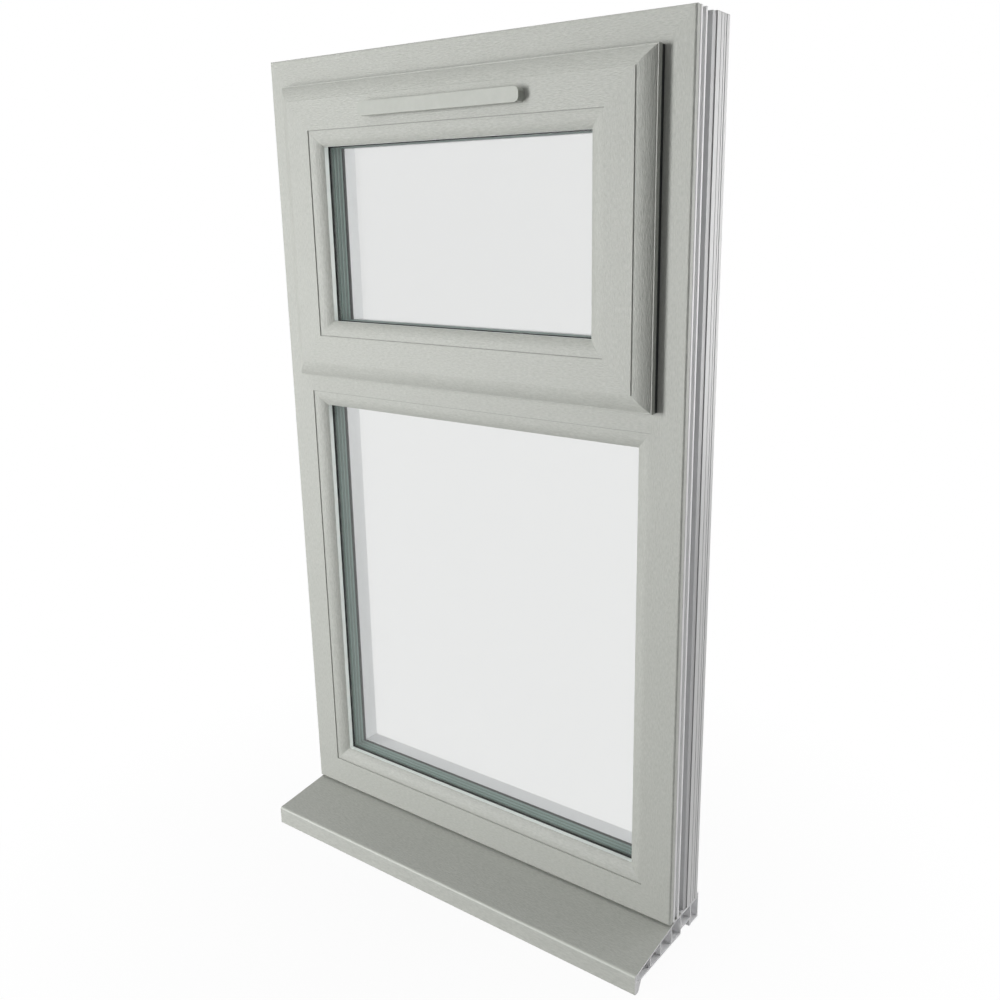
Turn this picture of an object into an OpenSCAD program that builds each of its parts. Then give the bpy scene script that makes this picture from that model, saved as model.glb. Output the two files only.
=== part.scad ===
// Top-hung window: mitred plastic frame with a fixed lower light, an outward-opening
// top sash on friction stays, and a projecting hollow cill. Millimetres, +Z up.
// X runs along the window, Y from outside to inside with the frame's outer face at 0.
// The origin is on the cill's flat underside, below the outer face, midway across.

/* [Frame] */
// Overall width of the frame
frame_width = 610; // [450:5:1200]
// Height of the frame above the cill
frame_height = 1010; // [850:5:1500]
// Depth of the frame from outside to inside
frame_depth = 70; // [66:1:80]
// Width of the flat outer face
frame_face = 40.7; // [36:0.1:60]
// Height of the inner upstand above the rebate floor
upstand = 18; // [14:0.5:20]

/* [Transom] */
// Height of the opening light, from the frame's top to the transom's centre line
top_light = 400; // [370:5:530]
// Width of the transom's flat face
transom_face = 30.3; // [28:0.1:60]

/* [Sash] */
// How far the sash laps over the frame's face
sash_lap = 7.8; // [5:0.1:10]
// How far the sash's face stands out from the frame's face
sash_proud = 23; // [21:0.5:28]
// Gap between the sash's body and the rebate floor
rebate_gap = 13; // [12:0.5:16]

/* [Glazing] */
// Width of a glazing bead
bead_width = 19; // [15:0.5:22]
// Thickness of one pane
pane = 4; // [3:0.5:6]
// Thickness of a sealed unit
unit = 28; // [24:0.5:28]
// Cover of the bead over the unit's edge
edge_cover = 12; // [9:0.5:13]

/* [Cill] */
// How far the cill stands out from the frame's face
cill_out = 79; // [40:1:120]

/* [Vent] */
// Length of the ventilator's canopy
vent_length = 236; // [120:2:300]

/* [Hidden] */
$fn = 48;
W = frame_width / 2;
H = frame_height;
D = frame_depth;
F = frame_face;
t = 2.8;
bed = 28.5;
up_y = D - 24;
Q0 = W - F;
tz0 = H - top_light - transom_face / 2;
tz1 = H - top_light + transom_face / 2;
gap = 4;
core_y = 21;
core_d = 26;
core_fit = 0.4;
arc_steps = 20;
foil_y = 8.2;
rib_in = 4;
rib_w = 4;
chan_y = [22.4, 34];
chan_in = 10;
ledge_y = 42.4;
ledge_in = 1;
rear_y = 49.5;
groove_y = [8, 24];
groove_in = 5;
plate_lap = 2;

SW = Q0 + sash_lap;
sz0 = tz1 - sash_lap;
sz1 = H - F + sash_lap;
sfy = -sash_proud;
flange = sash_lap + rebate_gap;
sq = flange + 34.4;
sback = up_y - gap;
fl_back = sfy + 17;

glass_set = 14.9;
bead_y0 = 1.3;
bead_y1 = 12.4;
seal_in = up_y - glass_set - unit;

fq = [Q0, F, tz0];
sqr = [SW - sq, sz0 + sq, sz1 - sq];
bt = bead_width;

st_y = 15;
t_pin = sz1 - flange - 20;
arm_r = 32;
arm_l = 160;
bar_c = 45;
a_pin = t_pin - arm_r;
p_pin = a_pin - (arm_l + bar_c - arm_r);
q_pin = t_pin - bar_c;
tr_x = Q0 - 2.5;
arm_x = Q0 - 5.6;
bar_x = SW - flange;

hz = sz0 + flange + 22;
throw = 18;
plate_over = 40;
cam_x = min(150, SW - plate_over - 70);
vent_drop = 37.3;
vz = sz1 - vent_drop;
vl = min(vent_length, 2 * SW - 130) / 2;

// Points of a convex moulding from [x0, y0] that falls by dy over dx and starts at a slope of a degrees.
function ovolo(x0, y0, dx, dy, a) = let (c = atan2(dy, abs(dx)), e = 2 * (c - a),
    r = sqrt(dx * dx + dy * dy) / (2 * sin(c - a)))
    [for (i = [0:arc_steps]) let (g = a + e * i / arc_steps)
        [x0 + sign(dx) * r * (sin(g) - sin(a)), y0 + r * (cos(a) - cos(g))]];
function reversed(p) = [for (i = [len(p) - 1:-1:0]) p[i]];

// Rib on the frame's side between two depths, rounded at both edges.
function rib(y0, y1) = [[0.8, y1], [0.2, y1 - 0.3], [0, y1 - 0.9], [0, y0 + 0.9], [0.2, y0 + 0.3], [0.8, y0]];
// Groove of a depth d between two depths of the frame.
function groove(y0, y1, d) = [[0, y1], [d, y1], [d, y0], [0, y0]];

// Quarter round from [c[0]-r, c[1]] to [c[0], c[1]-r].
function nose(c, r, n) = [for (i = [0:n]) [c[0] - r * cos(90 * i / n), c[1] - r * sin(90 * i / n)]];

module box(a, b) { translate(a) cube(b - a); }

// Slab seen from the front: a polygon in X and Z, between two depths.
module slab(y0, y1) { translate([0, y1, 0]) rotate([90, 0, 0]) linear_extrude(y1 - y0) children(); }

// Flat ring between two rectangles given as [half width, bottom, top].
module ring(o, i, y0, y1) {
    slab(y0, y1) difference() {
        translate([-o[0], o[1]]) square([2 * o[0], o[2] - o[1]]);
        translate([-i[0], i[1]]) square([2 * i[0], i[2] - i[1]]);
    }
}

// Mitred members of a rectangle, each a section in (inward, depth) swept along one side.
module left_of(o, m) {
    intersection() {
        translate([-o[0], 0, o[1]]) linear_extrude(o[2] - o[1]) children();
        slab(-100, 150) polygon([[-o[0] - 5, o[1] - 5], [-o[0] + m, o[1] + m], [-o[0] + m, o[2] - m],
            [-o[0] - 5, o[2] + 5]]);
    }
}
module right_of(o, m) {
    intersection() {
        translate([o[0], 0, o[2]]) rotate([0, 180, 0]) linear_extrude(o[2] - o[1]) children();
        slab(-100, 150) polygon([[o[0] + 5, o[1] - 5], [o[0] - m, o[1] + m], [o[0] - m, o[2] - m],
            [o[0] + 5, o[2] + 5]]);
    }
}
module bottom_of(o, m) {
    intersection() {
        translate([o[0], 0, o[1]]) rotate([0, -90, 0]) linear_extrude(2 * o[0]) children();
        slab(-100, 150) polygon([[-o[0] - 5, o[1] - 5], [-o[0] + m, o[1] + m], [o[0] - m, o[1] + m],
            [o[0] + 5, o[1] - 5]]);
    }
}
module top_of(o, m) {
    intersection() {
        translate([-o[0], 0, o[2]]) rotate([0, 90, 0]) linear_extrude(2 * o[0]) children();
        slab(-100, 150) polygon([[-o[0] - 5, o[2] + 5], [-o[0] + m, o[2] - m], [o[0] - m, o[2] - m],
            [o[0] + 5, o[2] + 5]]);
    }
}

// Frame section: flat face, ribbed outer side with a deep channel, rebate and inner upstand.
module frame_section() {
    difference() {
        polygon(concat(reversed(nose([2.5, 2.5], 2.5, 6)), [[0.5, foil_y]],
            reversed(rib(foil_y, foil_y + rib_w)), [[rib_in, foil_y + rib_w], [rib_in, chan_y[0] - rib_w]],
            reversed(rib(chan_y[0] - rib_w, chan_y[0])), [[chan_in, chan_y[0]], [chan_in, chan_y[1]],
            [ledge_in, chan_y[1]], [ledge_in, ledge_y], [0, ledge_y]],
            reversed(groove(D - 19.4, D - 18.2, 1)), reversed(groove(D - 12.8, D - 11.6, 1)),
            reversed(groove(D - 8.4, D - 6.6, 2.4)),
            [[0, D - 1], [1, D], [F + upstand - 2, D], [F + upstand, D - 2], [F + upstand, up_y],
            [F, up_y], [F, 0]]));
        translate([rib_in + 2, 3]) square([F - t - rib_in - 2, 15.5]);
        translate([chan_in + t, core_y]) square([F - chan_in - 2 * t, core_d]);
        translate([ledge_in + t, chan_y[1] + t]) square([chan_in - ledge_in - t, rear_y - chan_y[1] - 2 * t]);
        translate([4.8, rear_y]) square([F - t - 4.8, D - t - rear_y]);
        translate([F, up_y + t]) square([upstand - t, D - up_y - 2 * t]);
    }
}
module transom_section() {
    h = transom_face;
    difference() {
        union() {
            square([h, D]);
            translate([-upstand, up_y]) square([h + 2 * upstand, D - up_y]);
        }
        translate([t, 3]) square([h - 2 * t, 15.5]);
        translate([t, core_y]) square([h - 2 * t, core_d]);
        translate([t, rear_y]) square([h - 2 * t, D - t - rear_y]);
        for (x = [t - upstand, h]) translate([x, up_y + t]) square([upstand - t, D - up_y - 2 * t]);
    }
}
// Sash section: sculpted lapping edge, flat face, hardware groove, glazing rebate and inner leg.
module sash_section() {
    difference() {
        polygon(concat([[0, fl_back], [0, sfy + 11.6], [0.4, sfy + 11.1], [1.6, sfy + 11], [1.9, sfy + 10.2]],
            reversed(ovolo(18.8, sfy + 1.3, -16.9, 8.9, 10)),
            [[19.6, sfy + 1.3], [19.6, sfy + 0.3], [20, sfy], [sq, sfy], [sq, sback - 19],
            [sq + upstand, sback - 19], [sq + upstand, sback - 2], [sq + upstand - 2, sback],
            [flange, sback], [flange, groove_y[1]],
            [flange + groove_in, groove_y[1]], [flange + groove_in, groove_y[0]], [flange, groove_y[0]],
            [flange, fl_back]]));
        translate([19, sfy + 4.4]) square([sq - t - 19, 10]);
        translate([flange + groove_in + t, fl_back - 0.3])
            square([sq - flange - groove_in - 2 * t, 27 - fl_back - 4]);
        translate([flange + t, 26.2]) square([sq - flange - 2 * t, sback - t - 26.2]);
        translate([sq, sback - 19 + t]) square([upstand - t, 19 - 2 * t]);
    }
}
// Glazing bead: quirk, short flat, sculpted slope and return to the glass.
module bead_section(y) {
    translate([0, y]) difference() {
        polygon(concat([[0, bead_y1], [0, bead_y0]], ovolo(2, bead_y0, bt - 2, 6.9, 0), [[bt, bead_y1]]));
        polygon([[2.4, bead_y1 - 2.2], [2.4, bead_y0 + 2.6], [bt - 7, bead_y0 + 5],
            [bt - 2.6, bead_y1 - 2.2]]);
    }
}

fo = [W, 0, H];
so = [SW, sz0, sz1];
module frame_head() { color("#c6c9c2") top_of(fo, F + upstand) frame_section(); }
module frame_jamb_left() { color("#c6c9c2") left_of(fo, F + upstand) frame_section(); }
module frame_jamb_right() { color("#c6c9c2") right_of(fo, F + upstand) frame_section(); }
module frame_bottom_rail() { color("#c6c9c2") bottom_of(fo, F + upstand) frame_section(); }
module transom() {
    color("#c6c9c2") difference() {
        translate([Q0, 0, tz0]) rotate([0, -90, 0]) linear_extrude(2 * Q0) transom_section();
        for (s = [0, 1]) mirror([s, 0, 0]) box([Q0 - upstand, up_y, tz0 - 60], [Q0 + 5, D + 5, tz1 + 60]);
    }
}

// Steel stiffeners: folded channels lying in the main chambers.
module steel(a, b, l) {
    linear_extrude(l) difference() {
        square([a, b]);
        translate([1.5, 1.5]) square([a, b - 3]);
    }
}
steel_d = core_d - 2 * core_fit;
steel_end = F + upstand + 3;
module jamb_steel_left() {
    color("#9aa0a4") translate([-W + chan_in + t + core_fit, core_y + core_fit, steel_end])
        steel(F - chan_in - 2 * t - 2 * core_fit, steel_d, H - 2 * steel_end);
}
module jamb_steel_right() { color("#9aa0a4") mirror([1, 0, 0]) jamb_steel_left(); }
module transom_steel() {
    l = Q0 - upstand - 2;
    color("#9aa0a4") translate([l, core_y + core_fit, tz0 + t + core_fit]) rotate([0, -90, 0])
        steel(transom_face - 2 * t - 2 * core_fit, steel_d, 2 * l);
}

// Cill: sloping top, nose with drip, open-ended chambers, low upstand behind the frame.
module cill() {
    n = -cill_out;
    s = (n + 3 - 10) * 0.165 - 2;
    function top(y) = -2 + (y - 10) * 0.165;
    module cell(y0, y1, z) {
        polygon([[y0, z + 2.2], [y1, z + 2.2], [y1, top(y1) - 2.4], [y0, top(y0) - 2.4]]);
    }
    color("#a4a79f") translate([-W, 0, 0]) rotate([90, 0, 90]) linear_extrude(2 * W) difference() {
        polygon([[n, s - 2.2], [n + 0.5, s - 0.9], [n + 1.5, s - 0.2], [n + 3, s], [10, -2], [12, 0],
            [D + 0.2, 0], [D + 0.2, 4], [D + 2.2, 4], [D + 2.2, -30.3], [54, -30.3], [54, -31.3],
            [50.6, -31.3], [50.6, -22], [28.5, -22], [28.5, -bed],
            [n + 14, -bed], [n + 8, -41.2], [n + 6.6, -42], [n + 1, -42], [n, -41]]);
        cell(n + 2.4, n + 33, -bed);
        cell(n + 35.2, -20.7 - 1.1, -bed);
        cell(-20.7 + 1.1, 5.1 - 1.1, -bed);
        polygon([[5.1 + 1.1, -bed + 2.2], [26.3, -bed + 2.2], [26.3, -2.4], [12, -2.4],
            [5.1 + 1.1, top(6.2) - 2.4]]);
        translate([28.5 + 0.4, -19.8]) square([51.8 - 28.9, 17.4]);
        translate([54, -28.1]) square([D - 54, 25.7]);
    }
}

module bead_set(o, y, k) {
    color("#c6c9c2") {
        if (k == 0) top_of(o, bt) bead_section(y);
        if (k == 1) bottom_of(o, bt) bead_section(y);
        if (k == 2) left_of(o, bt) bead_section(y);
        if (k == 3) right_of(o, bt) bead_section(y);
    }
}
function inset(o, d) = [o[0] - d, o[1] + d, o[2] - d];
module glaze(k, o, y) {
    e = inset(o, bt - edge_cover);
    g = y + glass_set;
    if (k == 0) color("#b9c0b8") ring(inset(o, bt - 5), inset(o, bt - 0.4), y + bead_y1, g);
    if (k == 1) color("#1d1f1e") ring(inset(o, bt - 7), inset(o, bt - 1), g + unit, g + unit + seal_in);
    if (k == 2) color("#cfe0da") slab(g, g + pane) translate([-e[0], e[1]]) square([2 * e[0], e[2] - e[1]]);
    if (k == 3) color("#cfe0da") slab(g + unit - pane, g + unit)
        translate([-e[0], e[1]]) square([2 * e[0], e[2] - e[1]]);
    if (k == 4) color("#7c8784") difference() {
        ring(inset(e, 4), inset(e, edge_cover + 0.6), g + pane, g + unit - pane);
        for (d = [-5.5, 0, 5.5]) ring(inset(e, edge_cover), inset(e, edge_cover + 2),
            g + unit / 2 + d - 0.6, g + unit / 2 + d + 0.6);
    }
    if (k == 5) color("#161817") ring(e, inset(e, 4), g + pane, g + unit - pane);
    if (k == 6) color("#3b4a57") for (s = [-1, 1])
        box([s * (e[0] - 70) - 25, g, o[1]], [s * (e[0] - 70) + 25, g + unit, e[1]]);
}
module fixed_bead_top() { bead_set(fq, 0, 0); }
module fixed_bead_bottom() { bead_set(fq, 0, 1); }
module fixed_bead_left() { bead_set(fq, 0, 2); }
module fixed_bead_right() { bead_set(fq, 0, 3); }
module fixed_outer_gasket() { glaze(0, fq, 0); }
module fixed_inner_gasket() { glaze(1, fq, 0); }
module fixed_outer_pane() { glaze(2, fq, 0); }
module fixed_inner_pane() { glaze(3, fq, 0); }
module fixed_spacer() { glaze(4, fq, 0); }
module fixed_edge_seal() { glaze(5, fq, 0); }
module fixed_setting_blocks() { glaze(6, fq, 0); }

// Seal on the frame's upstand that the sash's inner face closes on.
module frame_seal() {
    o = [Q0, tz1, H - F];
    color("#1d1f1e") ring(inset(o, rebate_gap + 0.2), inset(o, upstand - 0.6), sback + 0.2, up_y);
}

// Friction stay: track on the frame, short arm carrying the sash, long steadying arm.
module stay_track_left() {
    color("#b4b8ba") difference() {
        union() {
            box([-Q0, st_y - 9, p_pin - 18], [-tr_x, st_y + 9, t_pin + 14]);
            for (z = [a_pin, p_pin]) {
                translate([-tr_x - 0.5, st_y, z]) rotate([0, 90, 0]) cylinder(r = 3, h = 4.6);
                translate([-arm_x + 0.4, st_y, z]) rotate([0, 90, 0]) cylinder(r = 5, h = 1);
            }
        }
        for (z = screw_z) translate([-Q0 - 1, st_y, z]) rotate([0, 90, 0]) cylinder(r = 2.2, h = 5);
    }
}
screw_z = [p_pin - 11, p_pin + 40, q_pin - 50];
module stay_track_right() { mirror([1, 0, 0]) stay_track_left(); }
module stay_track_screws() {
    color("#c9ccce") for (s = [0, 1], z = screw_z) mirror([s, 0, 0])
        translate([0, st_y, z]) rotate([0, 90, 0]) {
        translate([0, 0, -tr_x]) cylinder(r = 3.6, h = 0.5);
        translate([0, 0, -Q0]) cylinder(r = 2.2, h = 2.6);
    }
}
module arm(z0, z1, r0, r1) {
    difference() {
        union() {
            box([-tr_x + 0.6, st_y - 6, z0], [-arm_x, st_y + 6, z1]);
            for (z = [z0, z1]) translate([-tr_x + 0.6, st_y, z]) rotate([0, 90, 0]) cylinder(r = 6, h = 2.5);
        }
        translate([-tr_x, st_y, z0]) rotate([0, 90, 0]) cylinder(r = r0, h = 5);
        if (r1 > 0) translate([-tr_x, st_y, z1]) rotate([0, 90, 0]) cylinder(r = r1, h = 5);
    }
}
module stay_short_arm_left() {
    color("#a9adb0") {
        arm(a_pin, t_pin, 3.05, 0);
        translate([-arm_x - 0.1, st_y, t_pin]) rotate([0, 90, 0]) cylinder(r = 3, h = arm_x - bar_x - 2.9);
        translate([-bar_x - 3.1, st_y, t_pin]) rotate([0, 90, 0]) cylinder(r = 2.5, h = 2.8);
    }
}
module stay_short_arm_right() { mirror([1, 0, 0]) stay_short_arm_left(); }
module stay_long_arm_left() { color("#a9adb0") arm(p_pin, q_pin, 3.05, 4); }
module stay_long_arm_right() { mirror([1, 0, 0]) stay_long_arm_left(); }
module stay_sash_bar_left() {
    color("#b4b8ba") difference() {
        union() {
            box([-bar_x - 3, st_y - 9, q_pin - 70], [-bar_x, st_y + 9, t_pin + 12]);
            translate([-tr_x + 0.7, st_y, q_pin]) rotate([0, 90, 0]) cylinder(r = 2.6, h = tr_x - bar_x - 3);
        }
        translate([-bar_x - 4, st_y, t_pin]) rotate([0, 90, 0]) cylinder(r = 2.55, h = 6);
    }
}
module stay_sash_bar_right() { mirror([1, 0, 0]) stay_sash_bar_left(); }

module sash_top_rail() {
    color("#c6c9c2") difference() {
        top_of(so, sq + upstand) sash_section();
        for (s = [-1, 1]) translate([0, sback + 5, 0]) slot(s * vl / 2, vz, vl - 34, 9, sback + 10 - sfy);
    }
}
module slot(x, z, l, h, d) { translate([x, 0, z]) rotate([90, 0, 0]) linear_extrude(d) stadium(l, h); }
module stadium(l, h) {
    square([l - h, h], center = true);
    for (s = [-1, 1]) translate([s * (l - h) / 2, 0]) circle(d = h);
}
module sash_bottom_rail() {
    color("#c6c9c2") difference() {
        bottom_of(so, sq + upstand) sash_section();
        box([-19, 7.5, sz0 + flange - 1], [19, 22.5, hz + 9]);
        translate([0, sback + 1, hz]) rotate([90, 0, 0]) cylinder(r = 6, h = sback - 20);
    }
}
module sash_stile_left() { color("#c6c9c2") left_of(so, sq + upstand) sash_section(); }
module sash_stile_right() { color("#c6c9c2") right_of(so, sq + upstand) sash_section(); }
module sash_bead_top() { bead_set(sqr, sfy, 0); }
module sash_bead_bottom() { bead_set(sqr, sfy, 1); }
module sash_bead_left() { bead_set(sqr, sfy, 2); }
module sash_bead_right() { bead_set(sqr, sfy, 3); }
module sash_outer_gasket() { glaze(0, sqr, sfy); }
module sash_inner_gasket() {
    color("#1d1f1e") ring(inset(sqr, bt - 7), inset(sqr, bt - 1), sfy + glass_set + unit, sback - 19);
}
module sash_outer_pane() { glaze(2, sqr, sfy); }
module sash_inner_pane() { glaze(3, sqr, sfy); }
module sash_spacer() { glaze(4, sqr, sfy); }
module sash_edge_seal() { glaze(5, sqr, sfy); }
module sash_setting_blocks() { glaze(6, sqr, sfy); }
module sash_weather_seal() { color("#1d1f1e") ring(inset(so, 0.4), inset(so, 6.4), fl_back, -0.2); }

// Lock: fixed faceplate and gearbox, sliding rod with headed cams, keeps on the transom.
lz = sz0 + flange;
module lock_faceplate() {
    color("#c2c6c8") difference() {
        box([-cam_x - plate_over, groove_y[0] - plate_lap, lz - 2.5],
            [cam_x + plate_over, groove_y[1] + plate_lap, lz]);
        for (s = [-1, 1]) translate([s * cam_x + throw / 2, 16, lz - 3])
            linear_extrude(4) stadium(throw + 9, 9);
        box([-11, 11, lz - 3], [11 + throw, 21, lz + 1]);
    }
}
module lock_gearbox() {
    color("#8f9598") difference() {
        union() {
            box([-18, 9, lz + 4.6], [18, 21, hz + 8]);
            for (s = [-1, 1]) box([s * 16.5 - 1.5, 9, lz], [s * 16.5 + 1.5, 21, lz + 5]);
        }
        translate([0, 22, hz]) rotate([90, 0, 0]) cylinder(r = 5.2, h = 14);
        box([-15, 8, lz + 0], [15, 22, lz + 4.6]);
        for (s = [-1, 1]) box([s * 16.5 - 4, 11.8, lz - 1], [s * 16.5 + 4, 20.2, lz + 4.4]);
    }
}
module lock_rod() { color("#b9bdbf") box([-cam_x - 22, 12, lz + 0.8], [cam_x + 22, 20, lz + 3.8]); }
module lock_cams() {
    color("#d0d3d5") for (s = [-1, 1]) translate([s * cam_x, 16, 0]) {
        translate([0, 0, lz - 7.2]) cylinder(r = 3.5, h = 8);
        translate([0, 0, lz - 10]) cylinder(r = 5.5, h = 2.9);
    }
}
module keep(x) {
    color("#b4b8ba") {
        box([x + 8, 4, tz1], [x + 30, 26, tz1 + 2]);
        box([x + 8, 5.5, tz1 + 1.5], [x + 30, 9, tz1 + 8]);
    }
}
module lock_keep_left() { keep(-cam_x); }
module lock_keep_right() { keep(cam_x); }

// Handle on the sash's bottom rail, lying along the rail at rest.
base_l = 96;
base_w = 23;
base_h = 8;
module handle_base() {
    color("#f0f1f0") translate([0, sback, hz]) rotate([-90, 0, 0]) difference() {
        union() {
            linear_extrude(base_h - 2) stadium(base_l, base_w);
            linear_extrude(base_h) stadium(base_l - 3, base_w - 3);
        }
        translate([0, 0, -1]) cylinder(r = 5.2, h = base_h + 2);
        for (s = [-1, 1]) translate([s * (base_l / 2 - 16), 0, -1]) cylinder(r = 2.6, h = base_h + 2);
    }
}
// Lever: a tapered outline seen from inside, crossed with a cranked outline seen from above.
grip_l = 108;
grip_r = 7.5;
hub_r = 10;
module handle_lever() {
    color("#f0f1f0") translate([0, sback + base_h + 0.4, hz]) intersection() {
        rotate([-90, 0, 0]) linear_extrude(40) {
            circle(r = hub_r);
            polygon([[0, -hub_r], [grip_l, -grip_r], [grip_l, grip_r], [0, hub_r]]);
            translate([grip_l, 0]) circle(r = grip_r);
        }
        translate([0, 0, -2 * hub_r]) linear_extrude(4 * hub_r) polygon(concat(
            [[-hub_r - 1, 0], [hub_r + 1, 0]], ovolo(hub_r + 1, 8, 26, 9, 62),
            [[grip_l, 19], [grip_l + grip_r, 22], [grip_l + grip_r, 27], [grip_l - 2, 30],
            [grip_l * 0.5, 30]],
            reversed(ovolo(-hub_r - 1, 12, 42, 17, 42))));
    }
}
module handle_spindle() {
    color("#9aa0a4") box([-3.5, 9.5, hz - 3.5], [3.5, sback + base_h + 0.4, hz + 3.5]);
}

// Ventilator: canopy outside, slotted body and sliding shutter inside.
module vent_canopy() {
    color("#c6c9c2") difference() {
        slab(sfy - 10.5, sfy) translate([0, vz]) rounded(2 * vl, 15.5, 6);
        slab(sfy - 8.3, sfy + 1) translate([0, vz - 2]) rounded(2 * vl - 5, 15.1, 4);
    }
}
module rounded(l, h, r) {
    square([l - 2 * r, h], center = true);
    square([l, h - 2 * r], center = true);
    for (x = [-1, 1], y = [-1, 1]) translate([x * (l / 2 - r), y * (h / 2 - r)]) circle(r = r);
}
vsz = vz - 1;
module vent_body() {
    color("#f0f1f0") difference() {
        slab(sback, sback + 10) translate([0, vsz]) rounded(2 * vl + 14, 20, 4);
        slab(sback - 1, sback + 6) translate([0, vsz]) square([2 * vl - 4, 14], center = true);
        for (i = [-6:6]) slab(sback + 4, sback + 12)
            translate([i * vl / 7, vsz]) square([vl / 15, 9], center = true);
        slab(sback + 8, sback + 12) translate([0, vsz]) square([2 * vl + 2, 14.4], center = true);
    }
}
module vent_shutter() {
    color("#e6e8e7") difference() {
        union() {
            slab(sback + 8.2, sback + 10) translate([-vl / 15, vsz]) square([2 * vl - 14, 14], center = true);
            slab(sback + 9.5, sback + 14) translate([-vl / 15, vsz]) square([18, 3], center = true);
        }
        for (i = [-6:6]) if (i != 0) slab(sback + 7, sback + 12)
            translate([i * vl / 7 - vl / 15 - 1, vsz]) square([vl / 15, 9], center = true);
    }
}

translate([0, 0, bed]) {
    frame_head();
    frame_jamb_left();
    frame_jamb_right();
    frame_bottom_rail();
    transom();
    cill();
    jamb_steel_left();
    jamb_steel_right();
    transom_steel();
    fixed_bead_top();
    fixed_bead_bottom();
    fixed_bead_left();
    fixed_bead_right();
    fixed_outer_gasket();
    fixed_inner_gasket();
    fixed_outer_pane();
    fixed_inner_pane();
    fixed_spacer();
    fixed_edge_seal();
    fixed_setting_blocks();
    frame_seal();
    stay_track_left();
    stay_track_right();
    stay_track_screws();
    lock_keep_left();
    lock_keep_right();
    stay_short_arm_left();
    stay_short_arm_right();
    stay_long_arm_left();
    stay_long_arm_right();
    sash_top_rail();
    sash_bottom_rail();
    sash_stile_left();
    sash_stile_right();
    sash_bead_top();
    sash_bead_bottom();
    sash_bead_left();
    sash_bead_right();
    sash_outer_gasket();
    sash_inner_gasket();
    sash_outer_pane();
    sash_inner_pane();
    sash_spacer();
    sash_edge_seal();
    sash_setting_blocks();
    sash_weather_seal();
    stay_sash_bar_left();
    stay_sash_bar_right();
    lock_faceplate();
    lock_gearbox();
    lock_rod();
    lock_cams();
    handle_base();
    handle_lever();
    handle_spindle();
    vent_canopy();
    vent_body();
    vent_shutter();
}
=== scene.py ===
"""Top-hung window: woodgrain-foiled plastic frame, sealed glazing, cill and fittings.

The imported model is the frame; this script gives every piece its finish, adds the handle's
two screws, and sets the camera and the studio light. Lengths are in metres.
"""
import math

import bpy
import numpy as np
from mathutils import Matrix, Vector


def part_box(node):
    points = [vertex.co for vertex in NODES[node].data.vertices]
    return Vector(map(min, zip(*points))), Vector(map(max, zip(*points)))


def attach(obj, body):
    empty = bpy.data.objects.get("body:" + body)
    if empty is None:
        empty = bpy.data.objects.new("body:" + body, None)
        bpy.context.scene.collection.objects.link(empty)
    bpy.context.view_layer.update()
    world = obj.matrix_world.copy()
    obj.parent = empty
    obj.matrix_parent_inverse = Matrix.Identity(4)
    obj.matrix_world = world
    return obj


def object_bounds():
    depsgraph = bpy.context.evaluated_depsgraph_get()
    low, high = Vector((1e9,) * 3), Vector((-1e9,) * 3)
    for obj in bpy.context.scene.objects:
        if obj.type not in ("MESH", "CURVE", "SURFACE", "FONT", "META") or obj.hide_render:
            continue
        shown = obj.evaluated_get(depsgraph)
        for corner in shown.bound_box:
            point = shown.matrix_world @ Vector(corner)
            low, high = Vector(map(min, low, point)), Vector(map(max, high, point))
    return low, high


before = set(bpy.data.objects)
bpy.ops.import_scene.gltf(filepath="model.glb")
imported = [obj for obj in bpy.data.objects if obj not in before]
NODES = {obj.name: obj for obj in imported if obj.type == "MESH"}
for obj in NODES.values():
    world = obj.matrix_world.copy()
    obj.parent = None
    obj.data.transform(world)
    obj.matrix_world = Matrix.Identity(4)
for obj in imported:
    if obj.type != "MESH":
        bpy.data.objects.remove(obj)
cad_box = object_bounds()

MM = 0.001

# Places read from the frame
FRAME_LOW, FRAME_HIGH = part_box("frame_bottom_rail")[0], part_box("frame_head")[1]
FOOT_Z = FRAME_LOW[2]
MIDDLE_Z = 0.5 * (FRAME_LOW[2] + FRAME_HIGH[2])
FLOOR_Z = cad_box[0][2]
CILL_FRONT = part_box("cill")[0][1]
BASE_LOW, BASE_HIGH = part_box("handle_base")

# Depths at which the foil stops and the bare plastic starts
FRAME_FOIL_END = 8.1 * MM
SASH_FOIL_END = -6.1 * MM
BEAD_FOIL_DEPTH = 7.1 * MM
FIXED_BEAD_FOIL_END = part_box("fixed_bead_left")[0][1] + BEAD_FOIL_DEPTH
SASH_BEAD_FOIL_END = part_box("sash_bead_left")[0][1] + BEAD_FOIL_DEPTH

# The frame's bare side, whose white plastic gets painted shade: its width from the outline inwards, and
# the depths where the shade's tone turns
SIDE_BAND = 12 * MM
RIBS_TO_CHANNEL = (24 * MM, 30 * MM)
CHANNEL_TO_LEDGE = (34.02 * MM, 34.06 * MM)
LEDGE_TO_BACK = (42.2 * MM, 42.6 * MM)

# Weld seam, by the difference of the two distances from the ring's outline, and a bead's painted
# shade line in the gap, by the distance from its outer edge: full tone up to the first number, none from
# the second
SEAM_EDGE = (0.5 * MM, 0.9 * MM)
GAP_SHADE_EDGE = (0.6 * MM, 1.0 * MM)

# Cill: its top falls by this much per length and passes the point at this depth and drop below the
# frame's foot. The foil's colour reaches a skin deep. The arris band is a painted highlight on the
# nose's top edge
CILL_FALL = 0.165
CILL_TOP_DEPTH, CILL_TOP_DROP = 10 * MM, 2 * MM
CILL_TOP_SKIN, CILL_FACE_SKIN = 1.2 * MM, 0.8 * MM
CILL_ARRIS_DEPTH = (1.5 * MM, 3.5 * MM)
CILL_ARRIS_DROP = (19 * MM, 18 * MM)

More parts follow.
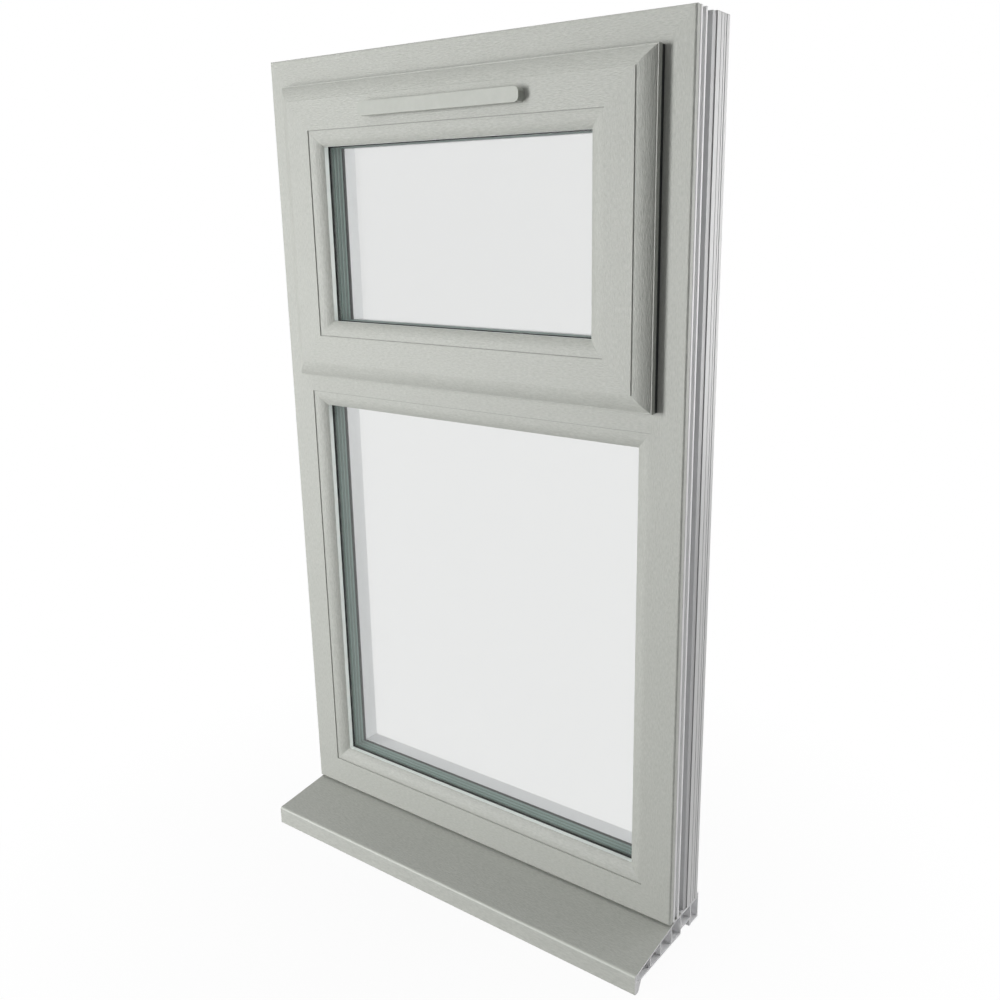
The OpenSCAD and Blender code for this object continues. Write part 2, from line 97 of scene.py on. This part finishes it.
# Spacer bar, as depths from its front: stripes, shade behind the front pane, sealant at both panes
SPACER_PITCH = 5.5 * MM
SPACER_SHADE = 7 * MM
SPACER_FRONT_SEALANT = (1.2 * MM, 1.8 * MM)
SPACER_BACK_SEALANT = (18.6 * MM, 19.2 * MM)

# The handle's screws: distance from the base's middle, radius, depth of the crown below the base's
# face, and distance of the foot from its back
SCREW_OFFSET = 32 * MM
SCREW_RADIUS = 2.45 * MM
SCREW_SUNK = 0.8 * MM
SCREW_FOOT = 0.05 * MM

# A surface whose normal has more than this along an axis counts as turned that way
FACING = 0.5

# Patterns that run along a piece: lengthwise and crosswise scales, per metre
PORE_SCALES = (185, 740)
BAND_SCALES = (30, 200)
DIE_LINE_SCALES = (3, 420)
STEEL_LINE_SCALES = (20, 1500)

# The range of a noise that is spread out to 0 and 1, and heights of the relief in the finishes
SPREAD = (0.3, 0.7)
SOFT_SPREAD = (0.35, 0.65)
FOIL_RELIEF = 0.38 * MM
CILL_RELIEF = 0.25 * MM
STRIPE_RELIEF = 0.12 * MM
RUBBER_RELIEF = 0.05 * MM
FINE_RELIEF = 0.02 * MM
VENT_RELIEF = 0.006 * MM
PAINT_RELIEF = 0.004 * MM


def srgb(r, g, b):
    """Linear colour of 8-bit display values."""
    def linear(v):
        v = v / 255
        return v / 12.92 if v <= 0.04045 else ((v + 0.055) / 1.055) ** 2.4
    return (linear(r), linear(g), linear(b), 1.0)


FOIL_PALE = srgb(182, 184, 178)
FOIL_DARK = srgb(161, 163, 157)
# Painted highlight: a paler foil for the top edge of the cill's nose
ARRIS_HIGHLIGHT = srgb(194, 197, 190)
# Painted shade in the gap where a bead's outer edge meets the rebate
GAP_SHADE = srgb(138, 140, 135)
BARE_PVC = srgb(250, 251, 252)
BARE_PVC_DULL = srgb(247, 248, 249)
SEAM_PVC = srgb(214, 214, 215)
# Painted shade: greyer copies of the white plastic for the frame's outer side, darkest in the channel
# and on the ledge
SHADED_RIB_PVC = srgb(226, 226, 226)
SHADED_CHANNEL_PVC = srgb(190, 190, 191)
SHADED_LEDGE_PVC = srgb(162, 162, 163)
SHADED_SIDE_PVC = srgb(190, 190, 190)
CILL_PVC = srgb(252, 252, 253)
CILL_PVC_DULL = srgb(248, 248, 249)
# Painted shade: a greyer copy of the white plastic for the cill's cut ends
SHADED_CILL_END = srgb(199, 199, 200)
PALE_LIP = srgb(247, 253, 249)
PALE_LIP_DULL = srgb(241, 249, 244)
CANOPY_PALE = srgb(168, 171, 164)
CANOPY_DARK = srgb(161, 164, 157)
VENT_PALE = srgb(238, 239, 238)
VENT_DULL = srgb(233, 234, 233)
HANDLE_PALE = srgb(242, 243, 242)
HANDLE_DULL = srgb(238, 239, 238)
RUBBER_PALE = srgb(34, 36, 35)
RUBBER_DARK = srgb(24, 26, 25)
EDGE_SEAL_PALE = srgb(26, 28, 27)
EDGE_SEAL_DARK = srgb(18, 20, 19)
PACKER_PALE = srgb(62, 78, 92)
PACKER_DARK = srgb(54, 70, 84)
STEEL_PALE = srgb(206, 209, 211)
STEEL_DARK = srgb(176, 180, 182)
SPACER_PALE = srgb(138, 162, 154)
SPACER_DARK = srgb(40, 50, 46)
SEALANT = srgb(20, 22, 21)
GLASS_TINT = (0.893, 0.897, 0.895, 1.0)
FLOOR_GREY = (0.64, 0.64, 0.64, 1.0)
WHITE = (1, 1, 1, 1)


class Signal:
    """A shader socket; arithmetic on it adds Math nodes to its tree."""

    def __init__(self, tree, socket):
        self.tree = tree
        self.socket = socket

    def node(self, kind, settings=None, inputs=None, out=0):
        """Adds a node: its settings first, then the values or links of its sockets."""
        made = self.tree.nodes.new(kind)
        for key, value in (settings or {}).items():
            setattr(made, key, value)
        for key, value in (inputs or {}).items():
            if isinstance(value, Signal):
                self.tree.links.new(value.socket, made.inputs[key])
            else:
                made.inputs[key].default_value = value
        return Signal(self.tree, made.outputs[out])

    def math(self, operation, *values):
        """The result of a Math node on these values."""
        return self.node("ShaderNodeMath", {"operation": operation}, dict(enumerate(values)))

    def __add__(self, other):
        return self.math("ADD", self, other)

    def __radd__(self, other):
        return self.math("ADD", other, self)

    def __sub__(self, other):
        return self.math("SUBTRACT", self, other)

    def __rsub__(self, other):
        return self.math("SUBTRACT", other, self)

    def __mul__(self, other):
        return self.math("MULTIPLY", self, other)

    def __rmul__(self, other):
        return self.math("MULTIPLY", other, self)

    def __abs__(self):
        return self.math("ABSOLUTE", self)

    def least(self, other):
        """The smaller of two values."""
        return self.math("MINIMUM", self, other)

    def most(self, other):
        """The larger of two values."""
        return self.math("MAXIMUM", self, other)

    def above(self, edge):
        """1 where the value is over the edge, else 0."""
        return self.math("GREATER_THAN", self, edge)

    def ramp(self, low, high):
        """0 at low, 1 at high, straight between."""
        return self.node("ShaderNodeMapRange", {"clamp": True},
                         {"Value": self, "From Min": low, "From Max": high})

    def blend(self, first, second):
        """Colour that goes from first, where the value is 0, to second, where it is 1.

        Inputs 6 and 7 and output 2 are the Mix node's colours.
        """
        return self.node("ShaderNodeMix", {"data_type": "RGBA"},
                         {"Factor": self, 6: first, 7: second}, out=2)

    def noise(self, scale, detail=3.0, roughness=0.55):
        """Noise of a vector, about 0.5 on average."""
        return self.node("ShaderNodeTexNoise", {"noise_dimensions": "3D"},
                         {"Vector": self, "Scale": scale, "Detail": detail, "Roughness": roughness})

    def stretched(self, along, lengthwise, crosswise):
        """The vector with the axis along, x or z, scaled by lengthwise and the others by crosswise."""
        scale = tuple(lengthwise if axis == along else crosswise for axis in "xyz")
        return self.node("ShaderNodeMapping", {"vector_type": "POINT"},
                         {"Vector": self, "Scale": scale})

    def axes(self):
        """The x, y and z of a vector."""
        split = self.node("ShaderNodeSeparateXYZ", {}, {"Vector": self}).socket.node
        return [Signal(self.tree, split.outputs[i]) for i in range(3)]

    def bump(self, height, strength):
        """Normal of a relief whose height is in metres."""
        return self.node("ShaderNodeBump", {},
                         {"Height": self, "Distance": height, "Strength": strength})


def new_finish(name, **constants):
    """A material with one Principled shader; returns it, its shader and its tree's first signal."""
    made = bpy.data.materials.new(name)
    made.use_nodes = True
    tree = made.node_tree
    shader = tree.nodes["Principled BSDF"]
    for key, value in constants.items():
        shader.inputs[key.replace("_", " ")].default_value = value
    return made, shader, Signal(tree, shader.outputs[0])


def place(root, output="Object"):
    """Texture coordinates: the object's own, the surface's Normal or the world's Generated direction."""
    return root.node("ShaderNodeTexCoord", out=output)


def ray_kinds(root):
    """Three signals: 1 for camera rays, for mirrored rays and for rays through glass."""
    return [root.node("ShaderNodeLightPath", out="Is " + kind + " Ray")
            for kind in ("Camera", "Glossy", "Transmission")]


def feed(shader, **links):
    """Links signals to the shader's sockets."""
    for key, value in links.items():
        shader.id_data.links.new(value.socket, shader.inputs[key.replace("_", " ")])


def grain(where, along):
    """Woodgrain running along one axis: fine pores and broad bands, as values near 0 to 1."""
    pores = where.stretched(along, *PORE_SCALES).noise(1.0, 3.0, 0.6).ramp(*SPREAD)
    bands = where.stretched(along, *BAND_SCALES).noise(1.0, 2.0, 0.5)
    return pores, bands


def foil_colour(pores, bands):
    """Pale grey-green with darker pores."""
    tone = pores * 0.85 + bands * 0.15
    return tone.blend(FOIL_DARK, FOIL_PALE)


def drawn_lines(where, along):
    """Faint lines that the extrusion die leaves along one axis, near 0 to 1."""
    return where.stretched(along, *DIE_LINE_SCALES).noise(1.0, 2.0, 0.5).ramp(*SPREAD)


def from_outline(where, low, high):
    """Distances inwards from the sides, and from the top or bottom, of the box low to high."""
    x, _, z = where.axes()
    across = 0.5 * (high[0] - low[0]) - abs(x - 0.5 * (high[0] + low[0]))
    upright = 0.5 * (high[2] - low[2]) - abs(z - 0.5 * (high[2] + low[2]))
    return across, upright


def outer_side(root, where):
    """1 near the frame's outline, seen from the front, and not on its back; else 0: where the bare
    plastic gets painted shade.
    """
    across, upright = from_outline(where, FRAME_LOW, FRAME_HIGH)
    near = 1 - across.least(upright).above(SIDE_BAND)
    return near * (1 - place(root, "Normal").axes()[1].above(FACING))


def woodgrain_foil(name, along, foil_end, low, high, dull, pale, gap_shaded):
    """Foil on the outside and bare pale plastic behind the depth where it stops, with painted shade on
    the frame's outer side.

    low and high are the corners of the mitred ring that the piece belongs to. Its corners are
    welded along the thin diagonals, where both distances from the outline are the same. A
    gap_shaded piece gets a line of painted shade where its outer edge meets the rebate.
    """
    made, shader, root = new_finish(name, Specular_IOR_Level=0.5)
    where = place(root)
    pores, bands = grain(where, along)
    depth = where.axes()[1]
    bare = depth.above(foil_end)
    lines = drawn_lines(where, along)
    across, upright = from_outline(where, low, high)
    seam = 1 - abs(across - upright).ramp(*SEAM_EDGE)
    inner = seam.blend(lines.blend(dull, pale), SEAM_PVC)
    # painted shade on the frame's outer side: greyer plastic, darker in the channel and on the ledge
    channel = depth.ramp(*RIBS_TO_CHANNEL).blend(SHADED_RIB_PVC, SHADED_CHANNEL_PVC)
    ledge = depth.ramp(*CHANNEL_TO_LEDGE).blend(channel, SHADED_LEDGE_PVC)
    outer = depth.ramp(*LEDGE_TO_BACK).blend(ledge, SHADED_SIDE_PVC)
    plastic = outer_side(root, where).blend(inner, outer)
    foil = foil_colour(pores, bands)
    if gap_shaded:
        # painted shade: a dark line in the gap along the bead's outer edge
        foil = (1 - upright.ramp(*GAP_SHADE_EDGE)).blend(foil, GAP_SHADE)
    relief = pores * (1 - bare) + (lines * 0.06 - seam * 0.8) * bare
    feed(shader, Base_Color=bare.blend(foil, plastic),
         Roughness=0.44 - bare * 0.08 + pores * 0.1,
         Normal=relief.bump(FOIL_RELIEF, 0.8))
    return made


def cill_finish(name):
    """Foil on the sloping top and the nose, with a painted highlight along the nose's top edge; bare
    plastic on the cut ends, with painted shade, and on the webs and underside.
    """
    made, shader, root = new_finish(name, Specular_IOR_Level=0.5)
    where = place(root)
    pores, bands = grain(where, "x")
    _, depth, height = where.axes()
    lengthwise = 1 - abs(place(root, "Normal").axes()[0]).above(FACING)
    top = FOOT_Z - CILL_TOP_DROP - CILL_TOP_DEPTH * CILL_FALL
    skin = (height - depth * CILL_FALL).above(top - CILL_TOP_SKIN)
    face = 1 - depth.above(CILL_FRONT + CILL_FACE_SKIN)
    foiled = lengthwise * skin.most(face)
    lines = drawn_lines(where, "x")
    # painted shade: the cill's cut ends get a greyer copy of its white plastic
    plain = lengthwise.blend(SHADED_CILL_END, lines.blend(CILL_PVC_DULL, CILL_PVC))
    # painted highlight: the foil turns paler along the top edge of the nose
    nose = 1 - depth.ramp(*(CILL_FRONT + inwards for inwards in CILL_ARRIS_DEPTH))
    arris_highlight = nose * height.ramp(*(FOOT_Z - drop for drop in CILL_ARRIS_DROP))
    foil = arris_highlight.blend(foil_colour(pores, bands), ARRIS_HIGHLIGHT)
    feed(shader, Base_Color=foiled.blend(plain, foil),
         Roughness=0.36 + foiled * 0.1 + pores * 0.1,
         Normal=(pores * foiled).bump(CILL_RELIEF, 0.6))
    return made


def moulded(name, pale, dull, roughness, scale=160.0, relief=FINE_RELIEF, **constants):
    """Moulded or painted plastic with a fine, slightly uneven skin."""
    made, shader, root = new_finish(name, **constants)
    where = place(root)
    skin = where.noise(scale, 4.0)
    cloud = where.noise(24.0, 2.0)
    tone = (skin * 0.5 + cloud * 0.5).ramp(*SOFT_SPREAD)
    feed(shader, Base_Color=tone.blend(dull, pale), Roughness=roughness - 0.06 + skin * 0.12,
         Normal=skin.bump(relief, 0.5))
    return made


def glass(name, tint):
    """Clear float glass, with a trace of unevenness in its surface."""
    made, shader, root = new_finish(name, Base_Color=tint, Transmission_Weight=1.0, IOR=1.45,
                                    Roughness=0.0)
    feed(shader, Normal=place(root).noise(2.2, 1.0).bump(FINE_RELIEF, 0.1))
    return made


def brushed_steel(name, along):
    """Zinc-plated steel with drawing lines along one axis."""
    made, shader, root = new_finish(name, Metallic=1.0)
    where = place(root)
    lines = where.stretched(along, *STEEL_LINE_SCALES).noise(1.0, 3.0)
    spangle = where.noise(60.0, 2.0)
    tone = (lines * 0.4 + spangle * 0.6).ramp(*SPREAD)
    feed(shader, Base_Color=tone.blend(STEEL_DARK, STEEL_PALE), Roughness=0.26 + lines * 0.22,
         Normal=lines.bump(FINE_RELIEF, 0.4))
    return made


def spacer_bar(name, front):
    """Grey-green rolled spacer bar: rounded stripes side by side through its depth."""
    made, shader, root = new_finish(name, Specular_IOR_Level=0.3)
    where = place(root)
    depth = where.axes()[1] - front
    turn = depth * (2 * math.pi / SPACER_PITCH)
    stripes = turn.math("COSINE", turn)
    shade = depth.ramp(0.0, SPACER_SHADE)
    tone = (0.66 + stripes * 0.2) * (0.5 + 0.5 * shade)
    clear = depth.ramp(*SPACER_FRONT_SEALANT) * (1 - depth.ramp(*SPACER_BACK_SEALANT))
    bar = tone.blend(SPACER_DARK, SPACER_PALE)
    feed(shader, Base_Color=(1 - clear).blend(bar, SEALANT),
         Roughness=0.45 + where.noise(300.0, 2.0) * 0.1,
         Normal=stripes.bump(STRIPE_RELIEF, 0.5))
    return made


FINISHES = {
    "cill_foil": cill_finish("cill_foil"),
    "canopy_paint": moulded("canopy_paint", CANOPY_PALE, CANOPY_DARK, 0.5),
    "white_plastic": moulded("white_plastic", VENT_PALE, VENT_DULL, 0.38, relief=VENT_RELIEF),
    "handle_paint": moulded("handle_paint", HANDLE_PALE, HANDLE_DULL, 0.36, relief=PAINT_RELIEF,
                            Coat_Weight=0.15, Coat_Roughness=0.3),
    "pale_gasket": moulded("pale_gasket", PALE_LIP, PALE_LIP_DULL, 0.5, 400.0),
    "black_gasket": moulded("black_gasket", RUBBER_PALE, RUBBER_DARK, 0.62, 400.0, RUBBER_RELIEF),
    "edge_seal": moulded("edge_seal", EDGE_SEAL_PALE, EDGE_SEAL_DARK, 0.5, 300.0),
    "packer": moulded("packer", PACKER_PALE, PACKER_DARK, 0.5),
    "pane_glass": glass("pane_glass", GLASS_TINT),
    "fixed_spacer": spacer_bar("fixed_spacer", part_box("fixed_spacer")[0][1]),
    "sash_spacer": spacer_bar("sash_spacer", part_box("sash_spacer")[0][1]),
    "steel_x": brushed_steel("steel_x", "x"),
    "steel_z": brushed_steel("steel_z", "z"),
}

# The mitred rings: the nodes that give their corners, where the foil stops, the bare plastic's colours
RINGS = {
    "frame_foil": ("frame_bottom_rail", "frame_head", FRAME_FOIL_END, BARE_PVC_DULL, BARE_PVC),
    "sash_foil": ("sash_bottom_rail", "sash_top_rail", SASH_FOIL_END, BARE_PVC_DULL, BARE_PVC),
    "fixed_bead": ("fixed_bead_bottom", "fixed_bead_top", FIXED_BEAD_FOIL_END, PALE_LIP_DULL, PALE_LIP),
    "sash_bead": ("sash_bead_bottom", "sash_bead_top", SASH_BEAD_FOIL_END, PALE_LIP_DULL, PALE_LIP),
}
for ring, (bottom, top, foil_end, dull, pale) in RINGS.items():
    for along in ("x", "z"):
        FINISHES[ring + "_" + along] = woodgrain_foil(
            ring + "_" + along, along, foil_end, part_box(bottom)[0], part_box(top)[1], dull, pale,
            ring.endswith("bead") and along == "x")

# Finishes by a word in the node's name; the first that fits is taken, and steel_z if none does
FINISH_BY_WORD = [
    ("pane", "pane_glass"),
    ("fixed_spacer", "fixed_spacer"),
    ("sash_spacer", "sash_spacer"),
    ("edge_seal", "edge_seal"),
    ("setting_blocks", "packer"),
    ("outer_gasket", "pale_gasket"),
    ("gasket", "black_gasket"),
    ("seal", "black_gasket"),
    ("vent_canopy", "canopy_paint"),
    ("vent", "white_plastic"),
    ("spindle", "steel_x"),
    ("handle", "handle_paint"),
    ("lock", "steel_x"),
    ("transom_steel", "steel_x"),
]


def finish_of(node):
    """The finish of a CAD node, from its name."""
    across = node.endswith(("head", "rail", "top", "bottom")) or node == "transom"
    axis = "x" if across else "z"
    if node == "cill":
        return "cill_foil"
    if "_bead_" in node:
        return node.split("_")[0] + "_bead_" + axis
    if node.startswith("sash_") and ("rail" in node or "stile" in node):
        return "sash_foil_" + axis
    if node in ("frame_head", "frame_bottom_rail", "transom") or "frame_jamb" in node:
        return "frame_foil_" + axis
    for word, look in FINISH_BY_WORD:
        if word in node:
            return look
    return "steel_z"


for name, piece in NODES.items():
    look = FINISHES[finish_of(name)]
    if not piece.material_slots:
        piece.data.materials.append(look)
    for held in piece.material_slots:
        held.material = look
    piece.visible_shadow = not name.endswith("pane")


def screw_head(name, centre, radius, low, high):
    """Recessed screw that looks out along +Y.

    Its head is a polar grid whose height is a shallow dome less a cross cut: the dome falls with
    the square of the distance, and the cross is a smooth step of the smaller of |x| and |z|, which
    ends with a smooth step of the distance. A straight wall and a flat base close it.
    """
    rings, turns = 18, 48
    half_slot, slot_reach, soft = 0.17 * radius, 0.66 * radius, 0.03 * radius
    dome, cut = 0.25 * radius, 0.4 * radius
    reach = np.linspace(0, 1, rings + 1)[1:, None] * radius
    angle = np.linspace(0, 2 * math.pi, turns, endpoint=False)[None, :]
    x, z = reach * np.sin(angle), reach * np.cos(angle)
    arm = np.minimum(abs(x), abs(z))
    cross = (1 / (1 + np.exp((arm - half_slot) / soft))
             / (1 + np.exp((reach - slot_reach) / soft)))
    top = high - dome * (reach / radius) ** 2 - cut * cross
    head = np.stack([x, top, z], 2)
    wall = np.stack([x[-1], np.full(turns, low), z[-1]], 1)[None]
    grid = np.concatenate([head, wall], 0).reshape(-1, 3)
    points = np.concatenate([grid, [[0, high - cut, 0], [0, low, 0]]], 0)
    points = points + np.array([centre[0], 0, centre[1]])
    here = np.arange(rings * turns).reshape(rings, turns)
    beside = np.roll(here, -1, 1)
    quads = np.stack([here + turns, beside + turns, beside, here], 2).reshape(-1, 4)
    first, last = np.arange(turns), rings * turns + np.arange(turns)
    tip, foot = (rings + 1) * turns, (rings + 1) * turns + 1
    crown = np.stack([first, np.roll(first, -1), np.full(turns, tip)], 1)
    base = np.stack([np.roll(last, -1), last, np.full(turns, foot)], 1)
    mesh = bpy.data.meshes.new(name)
    mesh.from_pydata(points.tolist(), [], quads.tolist() + crown.tolist() + base.tolist())
    mesh.materials.append(FINISHES["steel_z"])
    piece = bpy.data.objects.new(name, mesh)
    bpy.context.scene.collection.objects.link(piece)
    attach(piece, "sash")


for side, offset in (("left", -SCREW_OFFSET), ("right", SCREW_OFFSET)):
    screw_head("handle_screw_" + side,
               (0.5 * (BASE_LOW[0] + BASE_HIGH[0]) + offset, 0.5 * (BASE_LOW[2] + BASE_HIGH[2])),
               SCREW_RADIUS, BASE_LOW[1] + SCREW_FOOT, BASE_HIGH[1] - SCREW_SUNK)


def studio_floor():
    """Pale round floor: a little off white for the camera near the object, plain white further out."""
    radius, corners, gap = 6.0, 64, 0.2 * MM
    near_white, near, far = 0.94, 0.1, 0.7
    turns = np.linspace(0, 2 * math.pi, corners + 1)[:-1]
    edge = np.stack([radius * np.cos(turns), radius * np.sin(turns),
                     np.full(corners, FLOOR_Z - gap)], 1)
    mesh = bpy.data.meshes.new("studio_floor")
    mesh.from_pydata(edge.tolist(), [], [list(range(corners))])
    floor = bpy.data.objects.new("studio_floor", mesh)
    bpy.context.scene.collection.objects.link(floor)
    made, _, root = new_finish("floor_white", Base_Color=FLOOR_GREY, Roughness=0.9,
                               Specular_IOR_Level=0.1)
    x, y, _ = place(root).axes()
    square = x * x + y * y
    away = square.math("SQRT", square)
    camera, glossy, through = ray_kinds(root)
    plain = (camera + glossy + through) * (near_white + (1 - near_white) * away.ramp(near, far))
    white = root.node("ShaderNodeEmission", {}, {"Color": WHITE, "Strength": 1.0})
    mix = root.node("ShaderNodeMixShader", {}, {0: plain, 1: root, 2: white})
    output = root.tree.nodes["Material Output"]
    root.tree.links.new(mix.socket, output.inputs["Surface"])
    mesh.materials.append(made)


def studio_world(front, back):
    """White where it is seen or seen through glass; a soft fill, paler behind than in the dim front.

    In mirrored rays it goes from grey in front to white behind.
    """
    mirrored_front, back_starts, back_full = 0.3, 0.0, 0.6
    world = bpy.data.worlds.new("studio")
    bpy.context.scene.world = world
    world.use_nodes = True
    tree = world.node_tree
    background = tree.nodes["Background"]
    root = Signal(tree, background.outputs[0])
    camera, glossy, through = ray_kinds(root)
    behind = place(root, "Generated").axes()[1].ramp(back_starts, back_full)
    shown = (camera + through).least(1.0)
    mirrored = glossy * (mirrored_front + (1 - mirrored_front) * behind)
    fill = front + (back - front) * behind
    background.inputs["Color"].default_value = WHITE
    tree.links.new(shown.most(mirrored.most(fill)).socket, background.inputs["Strength"])


def all_but_panes():
    """The pieces that the lamps shine on; the panes mirror the white surroundings instead."""
    lit = bpy.data.collections.new("lit_pieces")
    for name, piece in NODES.items():
        if not name.endswith("pane"):
            lit.objects.link(piece)
    for extra in ("studio_floor", "handle_screw_left", "handle_screw_right"):
        lit.objects.link(bpy.data.objects[extra])
    return lit


def softbox(name, bearing, height, size, level, lit):
    """Lamp aimed at the window's middle, with bearing and height in degrees.

    level is the brightness it gives a white face turned to it: at a distance much larger than the
    lamp, that takes a power of level times the square of pi times the distance.
    """
    reach = 3.0
    lamp = bpy.data.lights.new(name, "AREA")
    lamp.shape = "RECTANGLE"
    lamp.size, lamp.size_y = size
    lamp.energy = level * math.pi ** 2 * reach ** 2
    piece = bpy.data.objects.new(name, lamp)
    bpy.context.scene.collection.objects.link(piece)
    east, up = math.radians(bearing), math.radians(height)
    piece.location = (reach * math.sin(east) * math.cos(up),
                      -reach * math.cos(east) * math.cos(up),
                      MIDDLE_Z + reach * math.sin(up))
    piece.rotation_euler = (math.pi / 2 - up, 0, east)
    piece.light_linking.receiver_collection = lit


def photo_camera():
    """Camera at the photograph's place: to the right of the window, above its middle."""
    right, front, above_foot = 0.79515, -0.91058, 0.80335
    tilt_down, turn_left = math.radians(14.99), math.radians(34.86)
    lens = bpy.data.cameras.new("photo_camera")
    lens.sensor_width = 36.0
    lens.lens = 36.154
    lens.shift_x = -0.0708
    lens.shift_y = -0.0003
    lens.clip_start = 0.01
    camera = bpy.data.objects.new("photo_camera", lens)
    bpy.context.scene.collection.objects.link(camera)
    camera.location = (right, front, FOOT_Z + above_foot)
    camera.rotation_euler = (math.pi / 2 - tilt_down, 0, turn_left)
    bpy.context.scene.camera = camera


studio_floor()
studio_world(front=0.08, back=0.3)
lit = all_but_panes()
softbox("key_lamp", bearing=-31, height=3, size=(0.8, 1.6), level=1.03, lit=lit)
softbox("side_lamp", bearing=135, height=0, size=(2.4, 2.4), level=0.98, lit=lit)
softbox("top_lamp", bearing=0, height=80, size=(1.6, 1.6), level=0.37, lit=lit)
photo_camera()
bpy.context.scene.view_settings.view_transform = "Standard"
